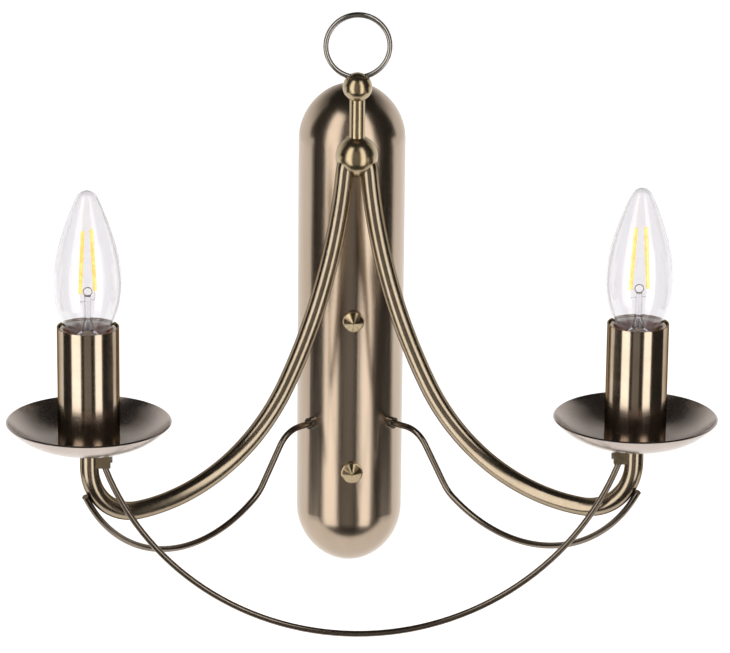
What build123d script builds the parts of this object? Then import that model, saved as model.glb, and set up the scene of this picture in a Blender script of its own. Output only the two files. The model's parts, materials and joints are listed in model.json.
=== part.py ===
from build123d import *
import os
from math import acos, atan2, cos, degrees, hypot, radians, sin, sqrt

# Double arm wall sconce. Millimetres. +Z up, the wall is the plane Y = 0 and the room lies on the -Y side.
# The origin is the centre of the two wall screw slots, on the wall plane.

os.makedirs("parts", exist_ok=True)

SIDES = (("left", -1), ("right", 1))

# ---------------------------------------------------------------- canopy (wall cover)
CANOPY_RADIUS = 28.4         # half width and depth of the half-round cover
CANOPY_TOP = 165.6
CANOPY_BOTTOM = -100.8
CANOPY_END_RISE = 2.6        # each domed end is this much taller than a half circle
CANOPY_TIP_LESS = 2.9        # its round tip is this much tighter than the cover, between two shoulder arcs
CANOPY_SHEET = 1.0

# ---------------------------------------------------------------- wall bracket
BRACKET_WIDTH = 22.0
BRACKET_HALF_HEIGHT = 56.0
BRACKET_CORNER = 3.0
BRACKET_SHEET = 1.5
BRACKET_OFFSET = 4.0         # raised ends, clear of the wall for the stud heads
BRACKET_FLAT = 35.0          # half height of the part that lies on the wall
BRACKET_JOGGLE = 3.0         # height of each step
WALL_SLOT_Z = 28.0           # each side of the origin
WALL_SLOT_WIDTH = 5.0
WALL_SLOT_LENGTH = 12.0
CABLE_HOLE_RADIUS = 5.0
CABLE_HOLE_Z = -15.0
STUD_Z = 42.3                # cap nuts, each side of the origin
STUD_RADIUS = 2.0
STUD_HEAD_RADIUS = 3.5
STUD_HEAD_HEIGHT = 2.2
STUD_ENGAGEMENT = 3.6        # length inside the cap nut
SCREW_HOLE_CLEARANCE = 0.25
NUT_BASE_RADIUS = 5.3
NUT_RADIUS = 5.8
NUT_HEIGHT = 5.4
NUT_RIM_HEIGHT = 1.9
NUT_TIP_RADIUS = 0.5

# ---------------------------------------------------------------- terminal block
BLOCK_WIDTH = 24.0
BLOCK_HEIGHT = 16.0
BLOCK_DEPTH = 13.5
POLE_X = 6.5
POLE_BORE = 2.2
POLE_RADIUS = 3.0
POLE_SCREW_Z = 4.2
POLE_SCREW_RADIUS = 1.5
WELL_RADIUS = 2.2
BLOCK_SCREW_RADIUS = 1.4
BLOCK_SCREW_HEAD = 2.4
BLOCK_SCREW_DEPTH = 3.5      # head sunk below the front of the block
DRIVE_SLOT = 0.35            # half width of a screwdriver slot
EARTH_SCREW_HEAD = 2.8
EARTH_SCREW_HEAD_HEIGHT = 1.9
EARTH_SCREW_Z = 51.0
EARTH_WASHER_RADIUS = 3.4
EARTH_WASHER_HEIGHT = 0.85

# ---------------------------------------------------------------- hub, stem, finial
HUB_Y = -48.0
HUB_Z = 137.8
HUB_RADIUS = 11.0
HUB_CAVITY = 9.0
STEM_RADIUS = 4.0
STEM_WALL = 1.0
FINIAL_Z = 174.7
FINIAL_RADIUS = 7.7
SOCKET_DEPTH = 3.0           # stem inside the finial
RING_RADIUS = 16.5           # centreline
RING_WIRE = 1.45
RING_SEAT = 5.1              # bottom of the ring's centreline above the finial's centre
RING_SPLIT_ANGLE = 22.5      # butt joint, clockwise from the top
RING_SPLIT = 0.5             # degrees
NIPPLE_RADIUS = 5.0
NIPPLE_BORE = 3.5
NIPPLE_BACK_Y = -19.5
SPACER_RADIUS = 6.5
WASHER_RADIUS = 9.0
WASHER_BACK_Y = -24.0
NUT_FLATS = 14.0
HUB_NUT_HEIGHT = 3.0

# ---------------------------------------------------------------- arms
CUP_X = 139.0
CUP_Y = -131.0
ARM_RADIUS = 4.75
ARM_BORE = 4.0
ARM_TOP_Z = 9.0              # seat of the drip pan
ARM_HOOK_TOP_Z = -2.6
ARM_HOOK_RADIUS = 28.8
ARM_LOWER_TURN = 60.0
ARM_UPPER_TURN = 24.0
ARM_NECK_REACH = 7.4349      # start of the neck bend, from the hub's axis
ARM_NECK_DROP = 7.6544       # and below the hub's centre
ARM_NECK_RADIUS = 14.0       # last small bend, through the hub wall
ARM_NECK_TURN = 20.0
ARM_END_CLEARANCE = 0.5      # past the end of the tube, inside the hub

# ---------------------------------------------------------------- stays
STAY_X = 21.3                # where each stay leaves the cover
STAY_Z = -17.6
STAY_WIRE = 1.7
STAY_HOOK_ANGLE = 60.0       # place of the weld around the arm's hook, from its lowest point
STAY_LONG_TURN = 92.0
STAY_TIGHT_RADIUS = 25.0
STAY_TIGHT_TURN = 23.0
STAY_ELBOW_RADIUS = 17.0
STAY_STRAIGHT = 10.2399       # level end before the cover
STAY_INSIDE = 7.0            # threaded end behind the cover
STAY_TIP = 2.6               # cut end past the weld
COLLAR_RADIUS = 3.1
COLLAR_LENGTH = 2.2
STAY_NUT_FLATS = 6.0
STAY_NUT_HEIGHT = 2.4
WELD_GAP = 0.03

# ---------------------------------------------------------------- swag wire
SWAG_LOWEST_Z = -95.05       # centreline
SWAG_WIRE = 1.6
SWAG_END_Z = 1.5
SWAG_END_GAP = 1.5992        # wire's centreline from the arm's tube, at its end
SWAG_BLOCK_REACH = 6.05      # inwards from the arm's tube
SWAG_BLOCK_SADDLE = 2.0      # its outer face from the arm's axis
SWAG_BLOCK_WIDTH = 7.0
SWAG_BLOCK_BOTTOM = -2.6
SWAG_BLOCK_TOP = 7.0
GRUB_RADIUS = 1.25
GRUB_HEAD = 1.7
GRUB_Z = 1.0

# ---------------------------------------------------------------- drip pan
PAN_RADIUS = 42.0
PAN_RIM_Z = 21.6
PAN_FLAT_RADIUS = 15.0
PAN_SHEET = 1.0

# ---------------------------------------------------------------- lampholder (E14)
ARM_NIPPLE_BORE = 3.0
ARM_NIPPLE_BELOW = 12.0
ARM_NIPPLE_TOP = 17.0
HOLDER_FLANGE_RADIUS = 14.4
HOLDER_FLANGE_HEIGHT = 3.0
HOLDER_NUT_FLATS = 13.0
HOLDER_NUT_HEIGHT = 3.0
HOLDER_RADIUS = 11.2
HOLDER_TOP = 60.0
CHAMBER_RADIUS = 9.6
CHAMBER_TOP = 32.0
HOLDER_FLOOR_TOP = 35.0
SOCKET_RADIUS = 8.4
SHELL_SHEET = 0.5
SHELL_BOTTOM = 40.5
SHELL_TOP = 57.5
TAIL_OFFSET = 4.6            # contact tails, each side of the axis
TAIL_WIDTH = 4.0
TAIL_SHEET = 0.6
TAIL_BOTTOM = 22.0
TAIL_SCREW_Z = 27.0
TAIL_SCREW_RADIUS = 1.25
TAIL_SCREW_HEAD = 2.3

# ---------------------------------------------------------------- candle sleeve
SLEEVE_RADIUS = 15.7
SLEEVE_SHEET = 0.8
SLEEVE_TOP = 71.9
LIFT_GAP = 0.3               # loose pieces over their seat

# ---------------------------------------------------------------- bulb (E14 candle, clear)
BULB_CONTACT_Z = 40.0
BULB_CAP_RADIUS = 6.92
BULB_CAP_SHEET = 0.4
BULB_CAP_THREAD_TOP = 60.0
BULB_CAP_TOP = 65.0
BULB_NECK_RADIUS = 8.6
GLASS_WALL = 0.8
THREAD_FIT = 0.06            # radial, bulb cap in the screw shell
CONTACT_GAP = 0.3
GLASS_RADIUS = 17.5          # widest place of the envelope
GLASS_BELLY_Z = 94.0         # height of the widest place
GLASS_LOWER_RADIUS = 48.0    # arc from the neck up to the widest place
GLASS_UPPER_RADIUS = 70.0    # arc above the widest place
GLASS_UPPER_TURN = 13.2      # degrees
GLASS_TAPER_RADIUS = 150.0   # flatter arc towards the tip
GLASS_TIP_RADIUS = 5.9
GLASS_NECK_TOP = 65.5        # end of the straight neck
FILAMENT_OFFSET = 4.6
FILAMENT_RADIUS = 1.0
FILAMENT_BOTTOM = 90.0
FILAMENT_TOP = 122.0
FILAMENT_LEAN = 3.5          # degrees
MOUNT_RADIUS = 1.7
MOUNT_TOP = 88.0
SUPPORT_RADIUS = 0.35
SUPPORT_SIDES = 6
FILAMENT_TURN = {"left": 35.0, "right": 10.0}

# ---------------------------------------------------------------- leads
LEAD_RADIUS = 0.85
LEAD_SIDES = 6
LEAD_PITCH = 1.0             # half the spacing of a pair in the arm
LEAD_NIPPLE_PITCH = 1.25     # half the spacing in the hub nipple
LEAD_END_Z = 29.5

TUBE_FIT = 0.02              # radial, brazed and screwed seats


# ================================================================ helpers
def save(name, *solids):
    shape = solids[0] if len(solids) == 1 else Compound(children=list(solids))
    export_step(shape, f"parts/{name}.step")


def solid_of(shape):
    solids = shape.solids()
    assert len(solids) == 1, f"{len(solids)} solids"
    return solids[0]


def rod(start, direction, radius, length):
    return solid_of(extrude(Plane(origin=start, z_dir=direction) * Circle(radius), length))


def ring_of(start, direction, outer, inner, length):
    return rod(start, direction, outer, length) - rod(start, direction, inner, length)


def hexagon(start, direction, flats, length):
    sketch = Plane(origin=start, z_dir=direction) * RegularPolygon(flats / 2, 6, major_radius=False)
    return solid_of(extrude(sketch, length))


def box(x0, x1, y0, y1, z0, z1):
    return Pos((x0 + x1) / 2, (y0 + y1) / 2, (z0 + z1) / 2) * Box(x1 - x0, y1 - y0, z1 - z0)


def turned(points, x, y):
    """Solid of revolution about the vertical axis at x, y from (radius, height) points."""
    profile = make_face(Polyline(*[(r, 0, z) for r, z in points], close=True).edges())
    return Pos(x, y, 0) * solid_of(revolve(profile, Axis.Z))


def sweep_round(edges, radius, sides=0):
    """Round bar, or with sides a faceted one, along tangent lines and arcs, one plain solid for each."""
    pieces = []
    across = Plane(origin=edges[0] @ 0, z_dir=edges[0] % 0).x_dir
    for edge in edges:
        start = edge @ 0
        heading = edge % 0
        section_plane = Plane(origin=start, x_dir=across, z_dir=heading)
        section = section_plane * (RegularPolygon(radius, sides) if sides else Circle(radius))
        if edge.geom_type == GeomType.LINE:
            pieces.append(solid_of(extrude(section, edge.length)))
            continue
        centre = edge.arc_center
        turn = degrees(edge.length / edge.radius)
        spin = Axis(centre, (start - centre).cross(heading).normalized())
        pieces.append(solid_of(revolve(section, spin, turn)))
        across = across.rotate(Axis((0, 0, 0), spin.direction), turn)
    return solid_of(pieces[0].fuse(*pieces[1:]) if len(pieces) > 1 else pieces[0])


def rounded_route(points, radii):
    """Edges through the points, each inner corner rounded to its radius."""
    points = [Vector(*p) for p in points]
    edges = []
    last = points[0]
    for corner, after, radius in zip(points[1:-1], points[2:], radii):
        incoming = (corner - last).normalized()
        outgoing = (after - corner).normalized()
        turn = radians(incoming.get_angle(outgoing))
        if turn < radians(0.05):
            continue
        back = radius * sin(turn / 2) / cos(turn / 2)
        first = corner - incoming * back
        second = corner + outgoing * back
        inward = (outgoing - incoming).normalized()
        middle = corner + inward * (radius / cos(turn / 2) - radius)
        edges.append(Edge.make_line(last, first))
        edges.append(Edge.make_three_point_arc(first, middle, second))
        last = second
    edges.append(Edge.make_line(last, points[-1]))
    return edges


class PlanarTrail:
    """Lines and tangent arcs in an upright plane: u runs outwards along heading, z runs up."""

    def __init__(self, origin, heading, u, z, angle, lateral=0.0):
        self.origin = origin
        self.along = (cos(heading), sin(heading))
        self.side = (-sin(heading), cos(heading))
        self.lateral = lateral
        self.u = u
        self.z = z
        self.angle = radians(angle)
        self.edges = []

    def point(self, u, z):
        x = self.origin[0] + self.along[0] * u + self.side[0] * self.lateral
        y = self.origin[1] + self.along[1] * u + self.side[1] * self.lateral
        return Vector(x, y, z)

    def here(self):
        return self.point(self.u, self.z)

    def tangent(self):
        rise = cos(self.angle)
        return Vector(self.along[0] * rise, self.along[1] * rise, sin(self.angle))

    def line(self, length):
        start = self.here()
        self.u += length * cos(self.angle)
        self.z += length * sin(self.angle)
        self.edges.append(Edge.make_line(start, self.here()))
        return self

    def arc(self, radius, turn):
        """Positive turns raise the heading."""
        start = self.here()
        sign = 1 if turn > 0 else -1
        centre_u = self.u - sign * radius * sin(self.angle)
        centre_z = self.z + sign * radius * cos(self.angle)
        half = self.angle + radians(turn) / 2
        middle = self.point(
            centre_u + sign * radius * sin(half),
            centre_z - sign * radius * cos(half),
        )
        self.angle += radians(turn)
        self.u = centre_u + sign * radius * sin(self.angle)
        self.z = centre_z - sign * radius * cos(self.angle)
        self.edges.append(Edge.make_three_point_arc(start, middle, self.here()))
        return self


# ================================================================ wall bracket and its fasteners
def bracket_profile():
    """Side view of the strip: flat on the wall, both ends joggled forward. Sketch x is Y, sketch y is Z."""
    back = (
        (0, 0),
        (0, BRACKET_FLAT),
        (-BRACKET_OFFSET, BRACKET_FLAT + BRACKET_JOGGLE),
        (-BRACKET_OFFSET, BRACKET_HALF_HEIGHT),
    )
    front = (
        (-BRACKET_OFFSET - BRACKET_SHEET, BRACKET_HALF_HEIGHT),
        (-BRACKET_OFFSET - BRACKET_SHEET, BRACKET_FLAT + BRACKET_JOGGLE - BRACKET_SHEET / 3),
        (-BRACKET_SHEET, BRACKET_FLAT - BRACKET_SHEET / 3),
        (-BRACKET_SHEET, 0),
    )
    upper = [*back, *front]
    lower = [(y, -z) for y, z in reversed(upper[1:-1])]
    return make_face(Polyline(*[(0, y, z) for y, z in (*upper, *lower)], close=True).edges())


end_back = -BRACKET_OFFSET
end_front = end_back - BRACKET_SHEET
half_width = BRACKET_WIDTH / 2

bracket = extrude(bracket_profile(), half_width, both=True, dir=(1, 0, 0))
bracket = solid_of(fillet(bracket.edges().filter_by(Axis.Y), BRACKET_CORNER))
for side in (-1, 1):
    slot_plane = Plane(origin=(0, 1, side * WALL_SLOT_Z), x_dir=(0, 0, 1), z_dir=(0, -1, 0))
    slot = slot_plane * SlotOverall(WALL_SLOT_LENGTH, WALL_SLOT_WIDTH)
    bracket -= extrude(slot, BRACKET_SHEET + 2)
    bracket -= rod((0, 1, side * STUD_Z), (0, -1, 0), STUD_RADIUS + TUBE_FIT, BRACKET_OFFSET + 4)
bracket -= rod((0, 1, CABLE_HOLE_Z), (0, -1, 0), CABLE_HOLE_RADIUS, BRACKET_SHEET + 2)
bracket -= rod((0, 1, EARTH_SCREW_Z), (0, -1, 0), POLE_SCREW_RADIUS + TUBE_FIT, BRACKET_OFFSET + 4)
bracket -= rod((0, 1, 0), (0, -1, 0), BLOCK_SCREW_RADIUS + TUBE_FIT, BRACKET_SHEET + 2)
save("wall_bracket", solid_of(bracket))

studs = []
cap_nuts = []
stud_tip_y = -CANOPY_RADIUS - STUD_ENGAGEMENT
for side in (1, -1):
    stud = rod((0, end_back, side * STUD_Z), (0, -1, 0), STUD_RADIUS, end_back - stud_tip_y)
    stud += rod((0, end_back + STUD_HEAD_HEIGHT, side * STUD_Z), (0, -1, 0), STUD_HEAD_RADIUS, STUD_HEAD_HEIGHT)
    studs.append(solid_of(stud))

    bore = STUD_RADIUS + TUBE_FIT
    bore_depth = STUD_ENGAGEMENT + SCREW_HOLE_CLEARANCE
    nut = turned(
        (
            (bore, 0),
            (NUT_BASE_RADIUS, 0),
            (NUT_RADIUS - 0.1, 0.5),
            (NUT_RADIUS, 1.1),
            (NUT_RADIUS - 0.15, NUT_RIM_HEIGHT - 0.2),
            (NUT_RADIUS - 0.6, NUT_RIM_HEIGHT),
            (NUT_TIP_RADIUS, NUT_HEIGHT),
            (0, NUT_HEIGHT + 0.1),
            (0, bore_depth),
            (bore, bore_depth),
        ),
        0,
        0,
    )
    # the nut's own axis points up; lay it forwards onto the cover
    cap_nuts.append(Pos(0, -CANOPY_RADIUS - TUBE_FIT, side * STUD_Z) * Rot(90, 0, 0) * nut)
save("bracket_studs", *studs)
save("cap_nuts", *cap_nuts)

# ================================================================ terminal block
block_back = -BRACKET_SHEET - TUBE_FIT
block_front = block_back - BLOCK_DEPTH
pole_y = (block_back + block_front) / 2
half_block = BLOCK_HEIGHT / 2

block = box(-BLOCK_WIDTH / 2, BLOCK_WIDTH / 2, block_front, block_back, -half_block, half_block)
block = solid_of(fillet(block.edges().filter_by(Axis.Z), 1.2))
block -= rod((0, block_back + 1, 0), (0, -1, 0), BLOCK_SCREW_RADIUS + TUBE_FIT, BLOCK_DEPTH + 2)
screw_head_y = block_front + BLOCK_SCREW_DEPTH
block -= rod((0, screw_head_y, 0), (0, -1, 0), BLOCK_SCREW_HEAD + 0.2, 5)
inserts = []
pole_screws = []
for side in (-1, 1):
    block -= rod((side * POLE_X, pole_y, -half_block - 1), (0, 0, 1), POLE_RADIUS + TUBE_FIT, BLOCK_HEIGHT + 2)
    insert = ring_of((side * POLE_X, pole_y, -half_block + 1.5), (0, 0, 1), POLE_RADIUS, POLE_BORE, BLOCK_HEIGHT - 3)
    for level in (-1, 1):
        seat = (side * POLE_X, pole_y, level * POLE_SCREW_Z)
        block -= rod(seat, (0, -1, 0), WELL_RADIUS, BLOCK_DEPTH)
        insert -= rod(seat, (0, -1, 0), POLE_SCREW_RADIUS + TUBE_FIT, BLOCK_DEPTH)
        screw = rod((seat[0], pole_y - LEAD_RADIUS - 0.08, seat[2]), (0, -1, 0), POLE_SCREW_RADIUS, 4.4)
        slot_cut = box(
            seat[0] - 2,
            seat[0] + 2,
            pole_y - LEAD_RADIUS - 6,
            pole_y - LEAD_RADIUS - 3.9,
            seat[2] - 0.3,
            seat[2] + 0.3,
        )
        pole_screws.append(solid_of(screw - slot_cut))
    inserts.append(solid_of(insert))
save("terminal_block", solid_of(block))
save("terminal_inserts", *inserts)
save("terminal_screws", *pole_screws)

block_screw = rod((0, -0.1, 0), (0, -1, 0), BLOCK_SCREW_RADIUS, 0.5 - screw_head_y)
block_screw += rod((0, screw_head_y - TUBE_FIT, 0), (0, -1, 0), BLOCK_SCREW_HEAD, 1.6)
save("terminal_block_screw", solid_of(block_screw))

washer_front = end_front - TUBE_FIT - EARTH_WASHER_HEIGHT
earth_screw = rod((0, end_back + 1.5, EARTH_SCREW_Z), (0, -1, 0), POLE_SCREW_RADIUS, end_back + 2 - washer_front)
earth_screw += rod((0, washer_front - TUBE_FIT, EARTH_SCREW_Z), (0, -1, 0), EARTH_SCREW_HEAD, EARTH_SCREW_HEAD_HEIGHT)
slot_y = washer_front - EARTH_SCREW_HEAD_HEIGHT
earth_screw -= box(-4, 4, slot_y - 1, slot_y + 0.6, EARTH_SCREW_Z - DRIVE_SLOT, EARTH_SCREW_Z + DRIVE_SLOT)
save("earth_screw", solid_of(earth_screw))
washer = ring_of(
    (0, end_front - TUBE_FIT, EARTH_SCREW_Z),
    (0, -1, 0),
    EARTH_WASHER_RADIUS,
    POLE_SCREW_RADIUS + TUBE_FIT,
    EARTH_WASHER_HEIGHT,
)
save("earth_washer", solid_of(washer))


# ================================================================ canopy
def bar_outline(inset):
    """Half outline of the round-ended bar, from its foot on the axis up to its head: each dome has a round
    tip on the axis and a flatter shoulder arc that runs into the straight side."""
    width = CANOPY_RADIUS
    height = CANOPY_RADIUS + CANOPY_END_RISE
    tip = CANOPY_RADIUS - CANOPY_TIP_LESS
    shoulder = ((height - tip) ** 2 + width**2 - tip**2) / (2 * (width - tip))
    turn = degrees(atan2(height - tip, shoulder - width))
    top = CANOPY_TOP - height
    bottom = CANOPY_BOTTOM + height
    return (
        CenterArc((0, bottom - height + tip), tip - inset, -90, 90 - turn),
        CenterArc((width - shoulder, bottom), shoulder - inset, -turn, turn),
        Line((width - inset, bottom), (width - inset, top)),
        CenterArc((width - shoulder, top), shoulder - inset, 0, turn),
        CenterArc((0, top + height - tip), tip - inset, turn, 90 - turn),
    )


def canopy_bar(inset):
    """The whole round-ended bar that the cover is half of."""
    curves = bar_outline(inset)
    outline = [*curves, Line(curves[-1] @ 1, curves[0] @ 0)]
    return solid_of(revolve(Plane.XZ * make_face([curve.edge() for curve in outline]), Axis.Z))


def canopy_shell():
    """Front half of the sheet bar: its outline is turned half a turn about the wall line."""
    outer = bar_outline(0)
    inner = bar_outline(CANOPY_SHEET)
    ends = (Line(outer[-1] @ 1, inner[-1] @ 1), Line(outer[0] @ 0, inner[0] @ 0))
    outline = [curve.edge() for curve in (*outer, *inner, *ends)]
    return solid_of(revolve(Plane.XZ * make_face(outline), Axis.Z, -180))


stay_plan = atan2(CUP_Y - -sqrt(CANOPY_RADIUS**2 - STAY_X**2), CUP_X - STAY_X)
stay_root_y = -sqrt(CANOPY_RADIUS**2 - STAY_X**2)

canopy = canopy_shell()
for side in (-1, 1):
    canopy -= rod((0, -10, side * STUD_Z), (0, -1, 0), STUD_RADIUS + SCREW_HOLE_CLEARANCE, 30)
    outward = (side * cos(stay_plan), sin(stay_plan), 0)
    inner_start = (
        side * STAY_X - outward[0] * 8,
        stay_root_y - outward[1] * 8,
        STAY_Z,
    )
    canopy -= rod(inner_start, outward, STAY_WIRE + TUBE_FIT, 16)
canopy -= rod((0, -10, HUB_Z), (0, -1, 0), NIPPLE_RADIUS + TUBE_FIT, 30)
save("canopy", solid_of(canopy))

# ================================================================ hub nipple, spacer, washer, nut
hub = (0, HUB_Y, HUB_Z)
nipple_front_y = HUB_Y + HUB_CAVITY - 0.8
nipple = ring_of((0, nipple_front_y, HUB_Z), (0, 1, 0), NIPPLE_RADIUS, NIPPLE_BORE, NIPPLE_BACK_Y - nipple_front_y)
save("hub_nipple", solid_of(nipple))

bore = NIPPLE_RADIUS + TUBE_FIT
spacer = ring_of((0, HUB_Y, HUB_Z), (0, 1, 0), SPACER_RADIUS, bore, -HUB_Y)
spacer -= Pos(*hub) * Sphere(HUB_RADIUS + TUBE_FIT)
save("hub_spacer", solid_of(spacer - canopy_bar(-TUBE_FIT)))

washer = ring_of((0, -CANOPY_RADIUS, HUB_Z), (0, 1, 0), WASHER_RADIUS, bore, CANOPY_RADIUS + WASHER_BACK_Y)
save("hub_washer", solid_of(washer & canopy_bar(CANOPY_SHEET + TUBE_FIT)))

hub_nut = hexagon((0, WASHER_BACK_Y + TUBE_FIT, HUB_Z), (0, 1, 0), NUT_FLATS, HUB_NUT_HEIGHT)
hub_nut -= rod((0, WASHER_BACK_Y - 1, HUB_Z), (0, 1, 0), bore, HUB_NUT_HEIGHT + 4)
save("hub_nut", solid_of(hub_nut))

# ================================================================ arms
arm_plan = atan2(CUP_Y - HUB_Y, CUP_X)
arm_reach = hypot(CUP_X, CUP_Y - HUB_Y)


def arm_radii():
    """Radii of the two long arcs that take the tube, with the turns given, from its hook to the hub."""
    run = arm_reach - ARM_HOOK_RADIUS - ARM_NECK_REACH
    rise = HUB_Z - ARM_NECK_DROP - ARM_HOOK_TOP_Z + ARM_HOOK_RADIUS
    lower = radians(ARM_LOWER_TURN)
    both = radians(ARM_LOWER_TURN + ARM_UPPER_TURN)
    lower_run, lower_rise = sin(lower), 1 - cos(lower)
    upper_run, upper_rise = sin(both) - sin(lower), cos(lower) - cos(both)
    scale = lower_run * upper_rise - upper_run * lower_rise
    return (run * upper_rise - rise * upper_run) / scale, (rise * lower_run - run * lower_rise) / scale


arm_lower_radius, arm_upper_radius = arm_radii()


def arm_trail(side, lateral=0.0, start_z=ARM_TOP_Z):
    """From the pan seat down, around the hook and up to the hub; u is the distance from the hub's axis."""
    heading = arm_plan if side > 0 else radians(180) - arm_plan
    trail = PlanarTrail((0, HUB_Y), heading, arm_reach, start_z, -90, lateral)
    trail.line(start_z - ARM_HOOK_TOP_Z)
    trail.arc(ARM_HOOK_RADIUS, -90)
    trail.arc(arm_lower_radius, -ARM_LOWER_TURN)
    trail.arc(arm_upper_radius, -ARM_UPPER_TURN)
    return trail


def arm_tube_trail(side):
    return arm_trail(side).arc(ARM_NECK_RADIUS, ARM_NECK_TURN)


arm_outer = {}
for name, side in SIDES:
    trail = arm_tube_trail(side)
    arm_outer[side] = sweep_round(trail.edges, ARM_RADIUS)
    save(f"arm_{name}", solid_of(arm_outer[side] - sweep_round(trail.edges, ARM_BORE)))

# ================================================================ hub ball, stem, finial, ring
stem_bottom = HUB_Z + HUB_CAVITY - 0.4
stem_top = FINIAL_Z - FINIAL_RADIUS + SOCKET_DEPTH
ball = Pos(*hub) * Sphere(HUB_RADIUS) - Pos(*hub) * Sphere(HUB_CAVITY)
ball -= rod(hub, (0, 1, 0), NIPPLE_RADIUS + TUBE_FIT, HUB_RADIUS + 1)
ball -= rod(hub, (0, 0, 1), STEM_RADIUS + TUBE_FIT, HUB_RADIUS + 1)
for name, side in SIDES:
    ball -= sweep_round(arm_tube_trail(side).line(ARM_END_CLEARANCE).edges[-3:], ARM_RADIUS + TUBE_FIT)
save("hub_ball", solid_of(ball))

stem = ring_of((0, HUB_Y, stem_bottom), (0, 0, 1), STEM_RADIUS, STEM_RADIUS - STEM_WALL, stem_top - stem_bottom)
save("stem", solid_of(stem))

ring_path = Plane.XZ * CenterArc(
    (0, 0),
    RING_RADIUS,
    90 - RING_SPLIT_ANGLE + RING_SPLIT / 2,
    360 - RING_SPLIT,
)
ring_z = FINIAL_Z + RING_SEAT + RING_RADIUS
ring_path = Pos(0, HUB_Y, ring_z) * ring_path
save("ring", sweep_round([ring_path.edge()], RING_WIRE))

finial = Pos(0, HUB_Y, FINIAL_Z) * Sphere(FINIAL_RADIUS)
finial -= rod((0, HUB_Y, stem_top - 20), (0, 0, 1), STEM_RADIUS + TUBE_FIT, 20 + TUBE_FIT)
ring_channel = Pos(0, HUB_Y, ring_z) * Rot(90, 0, 0) * Torus(RING_RADIUS, RING_WIRE + TUBE_FIT)
save("finial_ball", solid_of(finial - ring_channel))


# ================================================================ stays
def stay_trail(side, long_radius):
    """Upright plane through the cover hole and the cup's axis; the rod is laid out from its weld back."""
    reach = hypot(CUP_X - STAY_X, CUP_Y - stay_root_y)
    heading = stay_plan if side > 0 else radians(180) - stay_plan
    weld = radians(STAY_HOOK_ANGLE)
    weld_radius = ARM_HOOK_RADIUS + ARM_RADIUS + STAY_WIRE + WELD_GAP
    hook_u = arm_reach - ARM_HOOK_RADIUS
    past_cup = hook_u + weld_radius * sin(weld) - arm_reach
    weld_u = reach + past_cup
    weld_z = ARM_HOOK_TOP_Z - weld_radius * cos(weld)
    back_heading = STAY_HOOK_ANGLE - 180
    tip_u = weld_u + STAY_TIP * cos(weld)
    tip_z = weld_z + STAY_TIP * sin(weld)
    trail = PlanarTrail((side * STAY_X, stay_root_y), heading, tip_u, tip_z, back_heading)
    trail.line(STAY_TIP)
    trail.arc(long_radius, -STAY_LONG_TURN)
    trail.arc(STAY_TIGHT_RADIUS, -STAY_TIGHT_TURN)
    elbow_turn = -180 - degrees(trail.angle)
    elbow_rise = STAY_ELBOW_RADIUS * (1 - cos(radians(elbow_turn)))
    trail.line((STAY_Z - elbow_rise - trail.z) / sin(radians(elbow_turn)))
    return trail.arc(STAY_ELBOW_RADIUS, elbow_turn)


def stay_rod(side):
    """The long arc's radius leaves the last bend the straight length that it has before the cover."""
    near = stay_trail(side, STAY_TIGHT_RADIUS).u
    per_radius = (stay_trail(side, 2 * STAY_TIGHT_RADIUS).u - near) / STAY_TIGHT_RADIUS
    trail = stay_trail(side, STAY_TIGHT_RADIUS + (STAY_STRAIGHT - near) / per_radius)
    trail.line(STAY_STRAIGHT + STAY_INSIDE)
    return sweep_round(trail.edges, STAY_WIRE)


collars = []
stay_nuts = []
for name, side in SIDES:
    save(f"stay_{name}", stay_rod(side))
    outward = Vector(side * cos(stay_plan), sin(stay_plan), 0)
    root = Vector(side * STAY_X, stay_root_y, STAY_Z)
    collar = ring_of(root - outward * 2, outward, COLLAR_RADIUS, STAY_WIRE + TUBE_FIT, COLLAR_LENGTH + 2)
    collar -= canopy_bar(-TUBE_FIT)
    collars.append(solid_of(collar))
    nut_seat = root - outward * (CANOPY_SHEET + 0.45)
    nut = hexagon(nut_seat, -outward, STAY_NUT_FLATS, STAY_NUT_HEIGHT)
    nut -= rod(nut_seat, -outward, STAY_WIRE + TUBE_FIT, STAY_NUT_HEIGHT)
    stay_nuts.append(solid_of(nut))
save("stay_collars", *collars)
save("stay_nuts", *stay_nuts)

# ================================================================ swag wire and its blocks
swag_end_x = CUP_X - ARM_RADIUS - SWAG_END_GAP
swag_sag = SWAG_END_Z - SWAG_LOWEST_Z
swag_radius = (swag_end_x**2 + swag_sag**2) / (2 * swag_sag)
end_angle = degrees(atan2(swag_sag - swag_radius, swag_end_x))
swag_arc = CenterArc((0, 0), swag_radius, 180 - end_angle, 180 + 2 * end_angle)
swag_path = Pos(0, CUP_Y, SWAG_LOWEST_Z + swag_radius) * (Plane.XZ * swag_arc)
block_inner_x = CUP_X - ARM_RADIUS - SWAG_BLOCK_REACH
save("swag_wire", sweep_round([swag_path.edge()], SWAG_WIRE))

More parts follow.
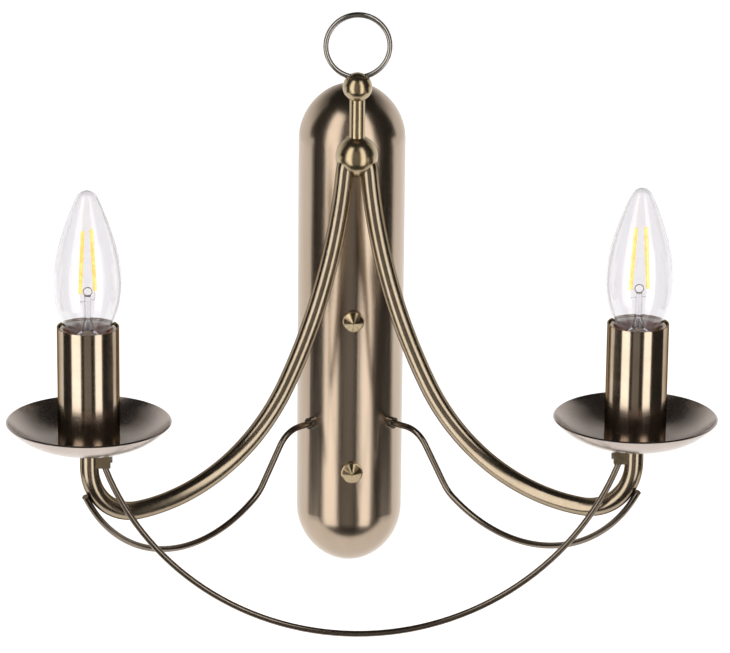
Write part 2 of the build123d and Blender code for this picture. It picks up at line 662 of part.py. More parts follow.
grub_screws = []
swag_hole = sweep_round([swag_path.edge()], SWAG_WIRE + TUBE_FIT)
for name, side in SIDES:
    block = box(
        block_inner_x,
        CUP_X - SWAG_BLOCK_SADDLE,
        CUP_Y - SWAG_BLOCK_WIDTH / 2,
        CUP_Y + SWAG_BLOCK_WIDTH / 2,
        SWAG_BLOCK_BOTTOM,
        SWAG_BLOCK_TOP,
    )
    block = solid_of(chamfer(block.edges().filter_by(Axis.Z).group_by(Axis.X)[0], 0.5))
    block = block if side > 0 else mirror(block, Plane.YZ)
    block -= rod((side * CUP_X, CUP_Y, -20), (0, 0, 1), ARM_RADIUS + TUBE_FIT, 40)
    block -= arm_outer[side]
    block -= swag_hole
    grub_seat = (side * block_inner_x, CUP_Y, GRUB_Z)
    block -= rod(grub_seat, (side, 0, 0), GRUB_RADIUS + TUBE_FIT, 3.5)
    save(f"swag_block_{name}", max(block.solids(), key=lambda s: s.volume))
    head_x = block_inner_x - TUBE_FIT
    grub = rod((side * head_x, CUP_Y, GRUB_Z), (-side, 0, 0), GRUB_HEAD, 1.0)
    grub += rod((side * head_x, CUP_Y, GRUB_Z), (side, 0, 0), GRUB_RADIUS, 1.3)
    grub -= box(
        *sorted((side * (head_x - 1.1), side * (head_x - 0.6))),
        CUP_Y - 2,
        CUP_Y + 2,
        GRUB_Z - 0.25,
        GRUB_Z + 0.25,
    )
    grub_screws.append(solid_of(grub))
save("grub_screws", *grub_screws)


# ================================================================ cups: pan, nipple, lampholder, sleeve, bulb
def pan_profile():
    """Shallow dish: flat centre, one arc up to the rim, uniform sheet."""
    rise = PAN_RIM_Z - ARM_TOP_Z
    run = PAN_RADIUS - PAN_FLAT_RADIUS
    bowl = (run**2 + rise**2) / (2 * rise)
    centre = (PAN_FLAT_RADIUS, ARM_TOP_Z + bowl)
    sweep_angle = degrees(atan2(run, bowl - rise))
    outer_edge = CenterArc(centre, bowl, 270, sweep_angle)
    inner_edge = CenterArc(centre, bowl - PAN_SHEET, 270, sweep_angle)
    bottom = Line((0, ARM_TOP_Z), (PAN_FLAT_RADIUS, ARM_TOP_Z))
    top = Line((0, ARM_TOP_Z + PAN_SHEET), (PAN_FLAT_RADIUS, ARM_TOP_Z + PAN_SHEET))
    rim = Line(outer_edge @ 1, inner_edge @ 1)
    axis_line = Line((0, ARM_TOP_Z), (0, ARM_TOP_Z + PAN_SHEET))
    parts = (bottom, outer_edge, rim, inner_edge, top, axis_line)
    return Plane.XZ * make_face([part.edge() for part in parts])


def glass_outline(inset):
    """Half outline of the envelope from the neck to the tip, five tangent arcs about fixed centres."""
    waist = GLASS_RADIUS - BULB_NECK_RADIUS
    rise = GLASS_BELLY_Z - GLASS_NECK_TOP
    neck_radius = (waist**2 + rise**2) / (2 * waist) - GLASS_LOWER_RADIUS
    neck_turn = degrees(2 * atan2(waist, rise))
    upper_x = GLASS_RADIUS - GLASS_UPPER_RADIUS
    stretch = GLASS_UPPER_RADIUS - GLASS_TAPER_RADIUS
    taper_x = upper_x + stretch * cos(radians(GLASS_UPPER_TURN))
    taper_z = GLASS_BELLY_Z + stretch * sin(radians(GLASS_UPPER_TURN))
    tip_reach = GLASS_TAPER_RADIUS - GLASS_TIP_RADIUS
    tip_turn = degrees(acos(-taper_x / tip_reach))
    tip_z = taper_z + tip_reach * sin(radians(tip_turn))
    neck_x = BULB_NECK_RADIUS - inset
    return (
        Line((neck_x, BULB_CAP_TOP + TUBE_FIT), (neck_x, GLASS_NECK_TOP)),
        CenterArc((BULB_NECK_RADIUS + neck_radius, GLASS_NECK_TOP), neck_radius + inset, 180, -neck_turn),
        CenterArc((GLASS_RADIUS - GLASS_LOWER_RADIUS, GLASS_BELLY_Z), GLASS_LOWER_RADIUS - inset, -neck_turn, neck_turn),
        CenterArc((upper_x, GLASS_BELLY_Z), GLASS_UPPER_RADIUS - inset, 0, GLASS_UPPER_TURN),
        CenterArc((taper_x, taper_z), GLASS_TAPER_RADIUS - inset, GLASS_UPPER_TURN, tip_turn - GLASS_UPPER_TURN),
        CenterArc((0, tip_z), GLASS_TIP_RADIUS - inset, tip_turn, 90 - tip_turn),
    )


def glass_face():
    outer = glass_outline(0)
    inner = glass_outline(GLASS_WALL)
    ends = (Line(outer[0] @ 0, inner[0] @ 0), Line(outer[-1] @ 1, inner[-1] @ 1))
    return Plane.XZ * make_face([curve.edge() for curve in (*outer, *inner, *ends)])


pan_solid = solid_of(revolve(pan_profile(), Axis.Z))
glass_solid = solid_of(revolve(glass_face(), Axis.Z))
floor_z = ARM_TOP_Z + PAN_SHEET + TUBE_FIT
shell_inner = BULB_CAP_RADIUS + THREAD_FIT
shell_outer = shell_inner + SHELL_SHEET
nut_bottom = floor_z + HOLDER_FLANGE_HEIGHT + TUBE_FIT
tail_screws = []

for name, side in SIDES:
    axis = Pos(side * CUP_X, CUP_Y, 0)
    heading = arm_plan if side > 0 else radians(180) - arm_plan
    across = axis * Rot(0, 0, degrees(heading) + side * 90)   # its X runs along the pair of leads

    nipple_hole = axis * Cylinder(ARM_BORE + 0.1, 60)
    save(f"drip_pan_{name}", solid_of(axis * pan_solid - nipple_hole))

    nipple_start = (side * CUP_X, CUP_Y, ARM_TOP_Z - ARM_NIPPLE_BELOW + 4)
    nipple_length = ARM_NIPPLE_TOP - nipple_start[2]
    nipple = ring_of(nipple_start, (0, 0, 1), ARM_BORE - TUBE_FIT, ARM_NIPPLE_BORE, nipple_length)
    save(f"arm_nipple_{name}", solid_of(nipple))

    nut = hexagon((side * CUP_X, CUP_Y, nut_bottom), (0, 0, 1), HOLDER_NUT_FLATS, HOLDER_NUT_HEIGHT)
    save(f"holder_nut_{name}", solid_of(nut - axis * Cylinder(ARM_BORE, 60)))

    holder = turned(
        (
            (ARM_BORE + 0.1, floor_z),
            (HOLDER_FLANGE_RADIUS, floor_z),
            (HOLDER_FLANGE_RADIUS, floor_z + HOLDER_FLANGE_HEIGHT),
            (HOLDER_RADIUS, floor_z + HOLDER_FLANGE_HEIGHT + 1),
            (HOLDER_RADIUS, HOLDER_TOP),
            (SOCKET_RADIUS, HOLDER_TOP),
            (SOCKET_RADIUS, HOLDER_FLOOR_TOP),
            (0, HOLDER_FLOOR_TOP),
            (0, CHAMBER_TOP),
            (CHAMBER_RADIUS, CHAMBER_TOP),
            (CHAMBER_RADIUS, floor_z + HOLDER_FLANGE_HEIGHT),
            (ARM_BORE + 0.1, floor_z + HOLDER_FLANGE_HEIGHT),
        ),
        side * CUP_X,
        CUP_Y,
    )

    # centre contact: a tail through the floor, a foot on it and a sprung tongue under the bulb
    half_tail = TAIL_WIDTH / 2
    tail_inner = TAIL_OFFSET - TAIL_SHEET / 2
    tail_outer = TAIL_OFFSET + TAIL_SHEET / 2
    tongue_top = BULB_CONTACT_Z - CONTACT_GAP
    foot_top = HOLDER_FLOOR_TOP + TUBE_FIT + TAIL_SHEET
    contact_tail = box(-tail_outer, -tail_inner, -half_tail, half_tail, TAIL_BOTTOM, foot_top)
    contact_foot = box(-tail_outer, 3.2, -half_tail, half_tail, foot_top - TAIL_SHEET, foot_top)
    contact_rise = box(2.6, 3.2, -half_tail, half_tail, foot_top - TAIL_SHEET, tongue_top)
    contact_tongue = box(-2.6, 3.2, -half_tail, half_tail, tongue_top - TAIL_SHEET, tongue_top)
    contact = contact_tail + contact_foot + contact_rise + contact_tongue

    # screw shell with its own tail
    shell = Pos(0, 0, (SHELL_TOP + SHELL_BOTTOM) / 2) * (
        Cylinder(shell_outer, SHELL_TOP - SHELL_BOTTOM) - Cylinder(shell_inner, SHELL_TOP - SHELL_BOTTOM)
    )
    tab_x0 = shell_inner + 0.1
    tab_x1 = shell_outer + 0.1
    shell_tab = box(tab_x0, tab_x1, -half_tail, half_tail, foot_top - TAIL_SHEET, SHELL_BOTTOM + 2)
    shell_foot = box(tail_inner, tab_x1, -half_tail, half_tail, foot_top - TAIL_SHEET, foot_top)
    shell_tail = box(tail_inner, tail_outer, -half_tail, half_tail, TAIL_BOTTOM, foot_top)
    shell = shell + shell_tab + shell_foot + shell_tail
    shell -= Cylinder(shell_inner, 300)

    for offset in (-TAIL_OFFSET, TAIL_OFFSET):
        half_slot = TAIL_SHEET / 2 + 0.03
        slot = box(offset - half_slot, offset + half_slot, -half_tail - 0.03, half_tail + 0.03, 30, 37)
        holder -= across * slot
        toward = 1 if offset > 0 else -1
        screw_x = offset - toward * (TAIL_SHEET / 2 + 0.1)
        screw = rod((screw_x, 0, TAIL_SCREW_Z), (toward, 0, 0), TAIL_SCREW_RADIUS, 2.4)
        head = rod((offset + toward * 1.1, 0, TAIL_SCREW_Z), (toward, 0, 0), TAIL_SCREW_HEAD, 1.4)
        tail_screws.append(solid_of(across * (screw + head)))
        screw_hole = rod((screw_x, 0, TAIL_SCREW_Z), (toward, 0, 0), TAIL_SCREW_RADIUS + TUBE_FIT, 3)
        if offset < 0:
            contact -= screw_hole
        else:
            shell -= screw_hole
    save(f"lampholder_{name}", solid_of(holder))
    save(f"centre_contact_{name}", solid_of(across * contact))
    save(f"screw_shell_{name}", solid_of(across * shell))

    sleeve_bottom = ARM_TOP_Z + PAN_SHEET + LIFT_GAP
    sleeve = ring_of(
        (side * CUP_X, CUP_Y, sleeve_bottom),
        (0, 0, 1),
        SLEEVE_RADIUS,
        SLEEVE_RADIUS - SLEEVE_SHEET,
        SLEEVE_TOP - sleeve_bottom,
    )
    save(f"candle_sleeve_{name}", solid_of(sleeve))

    cap_bottom = BULB_CONTACT_Z + 4.0
    inner = BULB_CAP_RADIUS - BULB_CAP_SHEET
    cap = turned(
        (
            (inner, cap_bottom),
            (BULB_CAP_RADIUS, cap_bottom),
            (BULB_CAP_RADIUS, BULB_CAP_THREAD_TOP),
            (BULB_NECK_RADIUS, BULB_CAP_TOP - 2),
            (BULB_NECK_RADIUS, BULB_CAP_TOP),
            (BULB_NECK_RADIUS - BULB_CAP_SHEET, BULB_CAP_TOP),
            (BULB_NECK_RADIUS - BULB_CAP_SHEET, BULB_CAP_TOP - 2),
            (inner, BULB_CAP_THREAD_TOP + 0.3),
        ),
        side * CUP_X,
        CUP_Y,
    )
    save(f"bulb_cap_{name}", cap)

    insulator = turned(
        (
            (2.6, BULB_CONTACT_Z + 1.2),
            (4.0, BULB_CONTACT_Z + 1.2),
            (inner - TUBE_FIT, BULB_CONTACT_Z + 3.6),
            (inner - TUBE_FIT, BULB_CONTACT_Z + 5.4),
            (2.6, BULB_CONTACT_Z + 5.4),
        ),
        side * CUP_X,
        CUP_Y,
    )
    save(f"bulb_insulator_{name}", insulator)

    button = turned(
        (
            (0, BULB_CONTACT_Z),
            (1.6, BULB_CONTACT_Z + 0.1),
            (2.5, BULB_CONTACT_Z + 0.6),
            (2.5, BULB_CONTACT_Z + 2.6),
            (0, BULB_CONTACT_Z + 2.6),
        ),
        side * CUP_X,
        CUP_Y,
    )
    save(f"bulb_contact_{name}", button)
    save(f"bulb_glass_{name}", axis * glass_solid)

    # glass mount with its two support wires, and the two filaments they carry
    flare = turned(
        (
            (0, MOUNT_TOP),
            (MOUNT_RADIUS, MOUNT_TOP),
            (MOUNT_RADIUS, 76.0),
            (3.2, 70.0),
            (BULB_NECK_RADIUS - GLASS_WALL - TUBE_FIT, 66.8),
            (BULB_NECK_RADIUS - GLASS_WALL - TUBE_FIT, 65.8),
            (2.4, 69.0),
            (0.8, 75.0),
            (0, 75.0),
        ),
        0,
        0,
    )
    turned_axis = axis * Rot(0, 0, FILAMENT_TURN[name])
    mount = flare
    filaments = []
    for toward in (-1, 1):
        lean = radians(FILAMENT_LEAN) * toward
        bottom_x = toward * FILAMENT_OFFSET
        top_x = bottom_x - (FILAMENT_TOP - FILAMENT_BOTTOM) * sin(lean)
        direction = (top_x - bottom_x, 0, FILAMENT_TOP - FILAMENT_BOTTOM)
        length = hypot(direction[0], direction[2])
        filaments.append(turned_axis * rod((bottom_x, 0, FILAMENT_BOTTOM), direction, FILAMENT_RADIUS, length))
        foot = rounded_route(
            ((0, 0, MOUNT_TOP - 2.5), (bottom_x * 0.95, 0, MOUNT_TOP - 2.5), (bottom_x, 0, FILAMENT_BOTTOM - TUBE_FIT)),
            (0.8,),
        )
        mount += sweep_round(foot, SUPPORT_RADIUS, SUPPORT_SIDES)
    save(f"bulb_mount_{name}", solid_of(turned_axis * mount))
    save(f"bulb_filaments_{name}", *filaments)
save("holder_terminal_screws", *tail_screws)

# ================================================================ internal leads
for name, side in SIDES:
    for pole, lateral in (("live", -1), ("neutral", 1)):
        pole_x = lateral * POLE_X + side * (LEAD_RADIUS + 0.1)
        trail = arm_trail(side, side * lateral * LEAD_PITCH, TAIL_BOTTOM - 6)
        tangent = trail.tangent()
        start = trail.here()
        down_y = -12.4 if lateral < 0 else -15.4
        nipple_z = HUB_Z + (LEAD_NIPPLE_PITCH if lateral < 0 else -LEAD_NIPPLE_PITCH)
        nipple_x = side * LEAD_NIPPLE_PITCH
        knee = start + tangent * ((nipple_z - start.Z) / tangent.Z)
        upper = rounded_route(
            (
                start,
                knee,
                (nipple_x, -37.0, nipple_z),
                (nipple_x, down_y, nipple_z),
                (nipple_x, down_y, 62.0),
                (pole_x, pole_y, 34.0),
                (pole_x, pole_y, 1.0),
            ),
            (4.0, 8.0, 6.0, 25.0, 25.0),
        )
        # the end in the lampholder, from the tail down to the straight top of the arm
        inner = trail.point(arm_reach, TAIL_BOTTOM - 6)
        spread = TAIL_OFFSET - TAIL_SHEET / 2 - LEAD_RADIUS - 0.15 - LEAD_PITCH
        shift = Vector(trail.side[0], trail.side[1], 0) * (side * lateral * spread)
        top = inner + shift + Vector(0, 0, LEAD_END_Z - inner.Z)
        lower = rounded_route(
            (
                top,
                inner + shift + Vector(0, 0, 7.5),
                inner + Vector(0, 0, 2.0),
                inner,
            ),
            (4.0, 4.0),
        )
        save(f"lead_{pole}_{name}", sweep_round([*lower, *trail.edges, *upper], LEAD_RADIUS, LEAD_SIDES))
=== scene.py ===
"""Looks of the double arm wall sconce: camera, studio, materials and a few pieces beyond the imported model."""
import json
from math import cos, pi, radians, sin

import bpy
from mathutils import Matrix, Vector

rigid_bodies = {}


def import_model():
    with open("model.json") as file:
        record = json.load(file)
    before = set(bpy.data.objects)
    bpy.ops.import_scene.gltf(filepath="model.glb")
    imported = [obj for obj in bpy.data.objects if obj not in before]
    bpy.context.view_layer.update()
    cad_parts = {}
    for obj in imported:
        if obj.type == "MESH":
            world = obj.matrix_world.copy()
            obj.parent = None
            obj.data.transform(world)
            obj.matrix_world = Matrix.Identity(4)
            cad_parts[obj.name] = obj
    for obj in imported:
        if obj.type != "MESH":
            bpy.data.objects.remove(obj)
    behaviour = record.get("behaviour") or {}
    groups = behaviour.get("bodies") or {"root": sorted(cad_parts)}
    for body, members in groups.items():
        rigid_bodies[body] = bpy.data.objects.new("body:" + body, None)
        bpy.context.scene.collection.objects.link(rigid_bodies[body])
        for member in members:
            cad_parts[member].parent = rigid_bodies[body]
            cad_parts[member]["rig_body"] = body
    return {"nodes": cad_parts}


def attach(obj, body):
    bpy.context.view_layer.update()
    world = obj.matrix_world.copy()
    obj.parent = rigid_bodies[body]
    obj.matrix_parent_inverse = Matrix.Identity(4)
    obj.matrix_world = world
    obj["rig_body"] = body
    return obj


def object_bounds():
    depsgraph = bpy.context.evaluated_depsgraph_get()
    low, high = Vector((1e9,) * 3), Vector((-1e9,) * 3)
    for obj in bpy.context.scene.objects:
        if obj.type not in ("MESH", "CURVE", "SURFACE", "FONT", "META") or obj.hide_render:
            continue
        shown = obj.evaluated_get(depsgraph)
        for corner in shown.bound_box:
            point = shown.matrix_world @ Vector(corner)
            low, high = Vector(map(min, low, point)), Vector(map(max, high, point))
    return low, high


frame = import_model()
NODES = frame["nodes"]
cad_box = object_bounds()

SIDES = (("left", -1), ("right", 1))

# rim around each bulb's neck, just under the mouth of the sleeve
CUP_X = 0.139
CUP_Y = -0.131
HOLDER_RADIUS = 0.01125
HOLDER_TOP = 0.060
LINER_INNER = 0.0130
LINER_OUTER = 0.0138
RIM_INNER = 0.0128
RIM_OUTER = 0.0142
RIM_BOTTOM = 0.0698
RIM_TOP = 0.0708
FLOOR_SHEET = 0.0010
RING_STEPS = 96

# loop of wire over each bulb's glass stem
STEM_TOP = 0.088
CURL_RADIUS = 0.0022
CURL_WIRE = 0.00026
CURL_STEPS = 32
CURL_SIDES = 8

# camera, from the photograph
CAMERA_AZIMUTH = radians(-3.23)
CAMERA_ELEVATION = radians(17.19)
CAMERA_ROLL = radians(0.6)
CAMERA_DISTANCE = 2.2096
CAMERA_TARGET = Vector((0.00449, -0.060, 0.0490))
CAMERA_LENS = 208.7

# studio
FLOOR_DROP = 0.32            # floor below the object's lowest point
FLOOR_HALF_WIDTH = 0.9
FLOOR_FRONT = -0.26
FLOOR_MIDDLE = 0.25
FLOOR_FAR = 1.8
FLOOR_BACK = 12.0
FLOOR_LIFT = 0.9             # glow under the object, which leaves room for its shadow
FAR_LIFT = 1.0
BACKDROP_RADIUS = 2.6
BACKDROP_START = radians(106)  # from the viewing direction, both ways
BACKDROP_HEIGHT = 3.2
BACKDROP_LIFT = 0.78
BACKDROP_FADE = (0.6, 3.0)   # heights above the floor between which its glow goes out
BACKDROP_STEPS = 24
STAGE_WHITE = (0.88, 0.88, 0.88, 1)
PALE_RAYS = ("Is Camera Ray", "Is Glossy Ray", "Is Transmission Ray")
WORLD_RAYS = ("Is Camera Ray", "Is Transmission Ray")
WORLD_DIM = (1, 0.92, 0.86, 1)
WORLD_DIM_STRENGTH = 0.03

# soft lights, upright panels around the object
LAMP_DISTANCE = 1.7
LAMP_BOTTOM = -1.2
LAMP_AIM_Y = -0.06
KEY_TOP = 2.6
KEY_RADIANCE = 2.1
KEY_COLOUR = (1.0, 0.985, 0.96)
FILL_TOP = 1.6
FILL_RADIANCE = 0.22
FILL_COLOUR = (1.0, 0.94, 0.88)
SOFTBOXES = (
    ("softbox_left", -46.5, 1.0, KEY_TOP, KEY_RADIANCE, KEY_COLOUR),
    ("softbox_right", 34, 0.78, KEY_TOP, KEY_RADIANCE, KEY_COLOUR),
    ("softbox_front", -6, 0.75, FILL_TOP, FILL_RADIANCE, FILL_COLOUR),
)

# finishes
METAL_BUMP = 0.00004
MOULDED_BUMP = 0.00003
MOULDED_GRAIN = 1500.0
MOULDED_RELIEF = 0.1


# ================================================================ small helpers
def new_material(name):
    material = bpy.data.materials.new(name)
    material.use_nodes = True
    tree = material.node_tree
    tree.nodes.clear()
    return material, tree


def add(tree, kind, **settings):
    """A node with its properties and plain input values set by name."""
    node = tree.nodes.new(kind)
    for key, value in settings.items():
        if hasattr(node, key) and key not in node.inputs:
            setattr(node, key, value)
        else:
            node.inputs[key.replace("_", " ")].default_value = value
    return node


def link(tree, source, output, target, socket):
    tree.links.new(source.outputs[output], target.inputs[socket])


def closed_ring(name, rows, body, material):
    """A ring of closed sections, which rides the named body."""
    count = len(rows[0])
    faces = []
    for i in range(len(rows)):
        here, there = i * count, (i + 1) % len(rows) * count
        for j in range(count):
            k = (j + 1) % count
            faces.append((here + j, there + j, there + k, here + k))
    mesh = bpy.data.meshes.new(name)
    mesh.from_pydata([point for row in rows for point in row], [], faces)
    mesh.materials.append(material)
    piece = bpy.data.objects.new(name, mesh)
    bpy.context.scene.collection.objects.link(piece)
    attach(piece, body)
    return piece


def turned_ring(name, section, centre, body, material):
    """An upright lathe form, from a section of radius and height points."""
    rows = []
    for i in range(RING_STEPS):
        angle = 2 * pi * i / RING_STEPS
        across, along = cos(angle), sin(angle)
        rows.append([(centre[0] + r * across, centre[1] + r * along, height) for r, height in section])
    return closed_ring(name, rows, body, material)


def wire_curl(name, centre, body, material):
    """A round loop of wire that faces forwards."""
    rows = []
    for i in range(CURL_STEPS):
        angle = 2 * pi * i / CURL_STEPS
        row = []
        for j in range(CURL_SIDES):
            turn = 2 * pi * j / CURL_SIDES
            out = CURL_RADIUS + CURL_WIRE * cos(turn)
            x = centre[0] + out * cos(angle)
            y = centre[1] - CURL_WIRE * sin(turn)
            z = centre[2] + out * sin(angle)
            row.append((x, y, z))
        rows.append(row)
    return closed_ring(name, rows, body, material)


# ================================================================ camera
def make_camera():
    back = Vector(
        (
            sin(CAMERA_AZIMUTH) * cos(CAMERA_ELEVATION),
            -cos(CAMERA_AZIMUTH) * cos(CAMERA_ELEVATION),
            sin(CAMERA_ELEVATION),
        )
    )
    right = Vector((cos(CAMERA_AZIMUTH), sin(CAMERA_AZIMUTH), 0))
    up = back.cross(right)
    across = right * cos(CAMERA_ROLL) + up * sin(CAMERA_ROLL)
    upwards = up * cos(CAMERA_ROLL) - right * sin(CAMERA_ROLL)
    data = bpy.data.cameras.new("camera")
    data.lens = CAMERA_LENS
    data.sensor_width = 36
    data.clip_end = 50
    camera = bpy.data.objects.new("camera", data)
    bpy.context.scene.collection.objects.link(camera)
    camera.matrix_world = Matrix.Translation(CAMERA_TARGET + back * CAMERA_DISTANCE) @ (
        Matrix((across, upwards, back)).transposed().to_4x4()
    )
    bpy.context.scene.camera = camera


make_camera()


# ================================================================ studio
def seen_white(tree, rays, bright, otherwise):
    """Mixes two shaders: bright for the named kinds of ray, otherwise for the rest."""
    path = add(tree, "ShaderNodeLightPath")
    weight = path.outputs[rays[0]]
    for name in rays[1:]:
        either = add(tree, "ShaderNodeMath", operation="MAXIMUM")
        tree.links.new(weight, either.inputs[0])
        tree.links.new(path.outputs[name], either.inputs[1])
        weight = either.outputs[0]
    mix = add(tree, "ShaderNodeMixShader")
    tree.links.new(weight, mix.inputs[0])
    tree.links.new(otherwise.outputs[0], mix.inputs[1])
    tree.links.new(bright.outputs[0], mix.inputs[2])
    return mix


def make_world():
    world = bpy.data.worlds.new("studio")
    bpy.context.scene.world = world
    world.use_nodes = True
    tree = world.node_tree
    tree.nodes.clear()
    white = add(tree, "ShaderNodeBackground", Color=(1, 1, 1, 1), Strength=1.0)
    dim = add(tree, "ShaderNodeBackground", Color=WORLD_DIM, Strength=WORLD_DIM_STRENGTH)
    mix = seen_white(tree, WORLD_RAYS, white, dim)
    output = add(tree, "ShaderNodeOutputWorld")
    tree.links.new(mix.outputs[0], output.inputs[0])


def white_material(name, lift, fade=None):
    """White that glows for what is seen in it. Fade gives the heights between which the glow goes out."""
    material, tree = new_material(name)
    diffuse = add(tree, "ShaderNodeBsdfDiffuse", Color=STAGE_WHITE)
    glow = add(tree, "ShaderNodeEmission", Color=(1, 1, 1, 1), Strength=lift)
    if fade:
        place = add(tree, "ShaderNodeTexCoord")
        height = add(tree, "ShaderNodeSeparateXYZ")
        link(tree, place, "Object", height, "Vector")
        fall = add(tree, "ShaderNodeMapRange", interpolation_type="SMOOTHSTEP")
        fall.inputs["From Min"].default_value = fade[0]
        fall.inputs["From Max"].default_value = fade[1]
        fall.inputs["To Min"].default_value = lift
        fall.inputs["To Max"].default_value = 0.0
        link(tree, height, "Z", fall, "Value")
        link(tree, fall, "Result", glow, "Strength")
    both = add(tree, "ShaderNodeAddShader")
    tree.links.new(diffuse.outputs[0], both.inputs[0])
    tree.links.new(glow.outputs[0], both.inputs[1])
    mix = seen_white(tree, PALE_RAYS, both, diffuse)
    output = add(tree, "ShaderNodeOutputMaterial")
    tree.links.new(mix.outputs[0], output.inputs[0])
    return material


def stage_mesh(name, rings, material):
    """A grid of quads from rows of points, kept out of the object."""
    mesh = bpy.data.meshes.new(name)
    points = [point for row in rings for point in row]
    width = len(rings[0])
    faces = [
        (row * width + i, row * width + i + 1, (row + 1) * width + i + 1, (row + 1) * width + i)
        for row in range(len(rings) - 1)
        for i in range(width - 1)
    ]
    mesh.from_pydata(points, [], faces)
    mesh.materials.append(material)
    piece = bpy.data.objects.new(name, mesh)
    bpy.context.scene.collection.objects.link(piece)
    return piece


def make_stage():
    floor_z = cad_box[0][2] - FLOOR_DROP
    floor_white = white_material("floor_white", FLOOR_LIFT)
    far_white = white_material("far_white", FAR_LIFT)
    for name, half_width, front, back, material in (
        ("floor_front", FLOOR_HALF_WIDTH, FLOOR_FRONT, FLOOR_MIDDLE, floor_white),
        ("floor_middle", FLOOR_BACK, FLOOR_MIDDLE, FLOOR_FAR, far_white),
        ("floor_far", FLOOR_BACK, FLOOR_FAR, FLOOR_BACK, far_white),
    ):
        rows = [[(x, y, floor_z) for x in (-half_width, half_width)] for y in (front, back)]
        stage_mesh(name, rows, material)
    fade = [floor_z + height for height in BACKDROP_FADE]
    wall_white = white_material("backdrop_white", BACKDROP_LIFT, fade)
    span = 2 * pi - 2 * BACKDROP_START
    rows = []
    for z in (floor_z, floor_z + BACKDROP_HEIGHT):
        row = []
        for i in range(BACKDROP_STEPS + 1):
            angle = BACKDROP_START + span * i / BACKDROP_STEPS
            row.append((sin(angle) * BACKDROP_RADIUS, -cos(angle) * BACKDROP_RADIUS, z))
        rows.append(row)
    backdrop = stage_mesh("backdrop", rows, wall_white)
    backdrop.visible_camera = False


def softbox(name, azimuth, width, top, radiance, colour):
    """Upright soft light that faces the object; azimuth is counted from straight in front of the wall."""
    data = bpy.data.lights.new(name, "AREA")
    data.shape = "RECTANGLE"
    data.size = width
    data.size_y = top - LAMP_BOTTOM
    data.energy = radiance * pi * width * data.size_y
    data.color = colour
    lamp = bpy.data.objects.new(name, data)
    bpy.context.scene.collection.objects.link(lamp)
    towards = Vector((sin(azimuth), -cos(azimuth), 0))
    lamp.location = towards * LAMP_DISTANCE + Vector((0, LAMP_AIM_Y, (top + LAMP_BOTTOM) / 2))
    lamp.rotation_euler = (pi / 2, 0, azimuth)
    lamp.visible_camera = False


make_world()
make_stage()
for lamp_name, lamp_azimuth, *lamp_values in SOFTBOXES:
    softbox(lamp_name, radians(lamp_azimuth), *lamp_values)


# ================================================================ materials
def brushed_metal(
    name, light, dark, roughness, fine, coarse, relief, grain=0.0, spread=0.03, edge=None, painted_shade_up=1.0
):
    """Metal with lines: fine and coarse are line frequencies per metre along X, Y and Z. Grain stretches the
    highlights along the upright axis of the piece. Edge tints what it shows at grazing angles. The last
    argument scales down the colour of what faces up, as painted shade."""
    material, tree = new_material(name)
    place = add(tree, "ShaderNodeTexCoord")
    stretch = add(tree, "ShaderNodeMapping")
    stretch.inputs["Scale"].default_value = fine
    link(tree, place, "Object", stretch, "Vector")
    lines = add(tree, "ShaderNodeTexNoise", Scale=1.0, Detail=3.0, Roughness=0.6)
    link(tree, stretch, "Vector", lines, "Vector")
    broad = add(tree, "ShaderNodeMapping")
    broad.inputs["Scale"].default_value = coarse
    link(tree, place, "Object", broad, "Vector")
    clouds = add(tree, "ShaderNodeTexNoise", Scale=1.0, Detail=4.0, Roughness=0.55)
    link(tree, broad, "Vector", clouds, "Vector")
    blend = add(tree, "ShaderNodeMath", operation="MULTIPLY_ADD")
    blend.inputs[1].default_value = 0.45
    link(tree, lines, "Fac", blend, 0)
    link(tree, clouds, "Fac", blend, 2)
    ramp = add(tree, "ShaderNodeValToRGB")
    ramp.color_ramp.elements[0].position = 0.45
    ramp.color_ramp.elements[0].color = (*dark, 1)
    ramp.color_ramp.elements[1].position = 1.0
    ramp.color_ramp.elements[1].color = (*light, 1)
    link(tree, blend, 0, ramp, "Fac")
    rough = add(tree, "ShaderNodeMapRange")
    rough.inputs["From Min"].default_value = 0.3
    rough.inputs["From Max"].default_value = 0.7
    rough.inputs["To Min"].default_value = roughness - spread
    rough.inputs["To Max"].default_value = roughness + spread
    link(tree, lines, "Fac", rough, "Value")
    bump = add(tree, "ShaderNodeBump", Strength=relief, Distance=METAL_BUMP)
    link(tree, lines, "Fac", bump, "Height")
    shader = add(tree, "ShaderNodeBsdfPrincipled", Metallic=1.0)
    if grain:
        shader.inputs["Anisotropic"].default_value = grain
        shader.inputs["Anisotropic Rotation"].default_value = 0.25
        around = add(tree, "ShaderNodeTangent", direction_type="RADIAL", axis="Z")
        link(tree, around, "Tangent", shader, "Tangent")
    if edge:
        shader.inputs["Specular Tint"].default_value = (*edge, 1)
    colour = ramp.outputs["Color"]
    # painted shade: the colour is scaled down on faces that point up
    if painted_shade_up != 1.0:
        facing = add(tree, "ShaderNodeNewGeometry")
        height = add(tree, "ShaderNodeSeparateXYZ")
        link(tree, facing, "Normal", height, "Vector")
        upward = add(tree, "ShaderNodeMapRange")
        upward.inputs["From Min"].default_value = 0.0
        upward.inputs["From Max"].default_value = 0.3
        upward.inputs["To Min"].default_value = 1.0
        upward.inputs["To Max"].default_value = painted_shade_up
        link(tree, height, "Z", upward, "Value")
        shade_scaled = add(tree, "ShaderNodeVectorMath", operation="SCALE")
        tree.links.new(colour, shade_scaled.inputs["Vector"])
        link(tree, upward, "Result", shade_scaled, "Scale")
        colour = shade_scaled.outputs["Vector"]
    tree.links.new(colour, shader.inputs["Base Color"])
    link(tree, rough, "Result", shader, "Roughness")
    link(tree, bump, "Normal", shader, "Normal")
    output = add(tree, "ShaderNodeOutputMaterial")
    link(tree, shader, "BSDF", output, "Surface")
    return material


